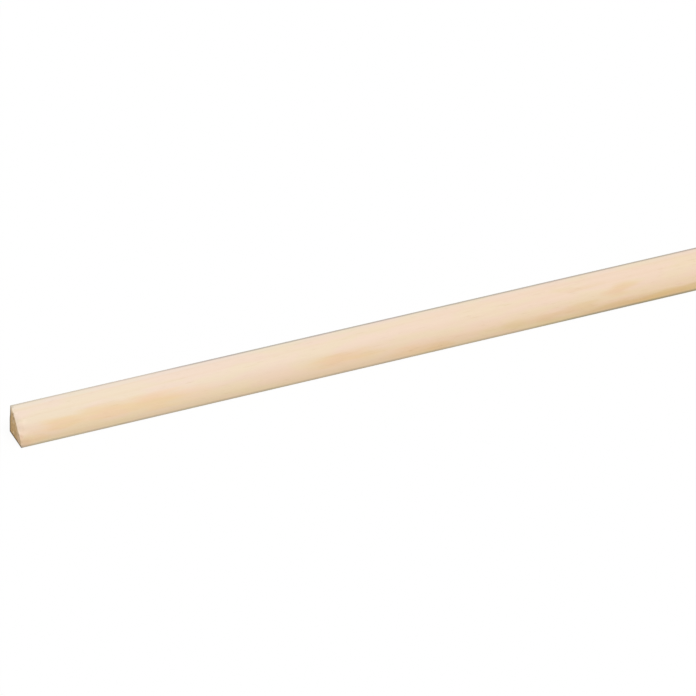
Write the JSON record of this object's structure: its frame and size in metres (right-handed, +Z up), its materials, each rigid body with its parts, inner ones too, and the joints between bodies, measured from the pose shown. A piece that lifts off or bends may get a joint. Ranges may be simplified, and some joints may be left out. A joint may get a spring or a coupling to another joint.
{
  "type": "quarter round moulding",
  "caption": "Long softwood moulding of quarter round section, with flat base and back faces at a right angle and a rounded nose, for covering the joint between floor and wall.",
  "frame": {"origin": "middle of the base face, halfway along the length", "axes": "+X along the length, +Y out of the wall face, +Z up out of the base; the rounded nose looks towards -Y and +Z"},
  "size_m": [2.4384, 0.019, 0.0191],
  "materials": {
    "softwood": "planed and lightly sanded, with no stain or lacquer"
  },
  "bodies": {
    "root": {"quarter_round_moulding": "softwood"}
  },
  "joints": []
}
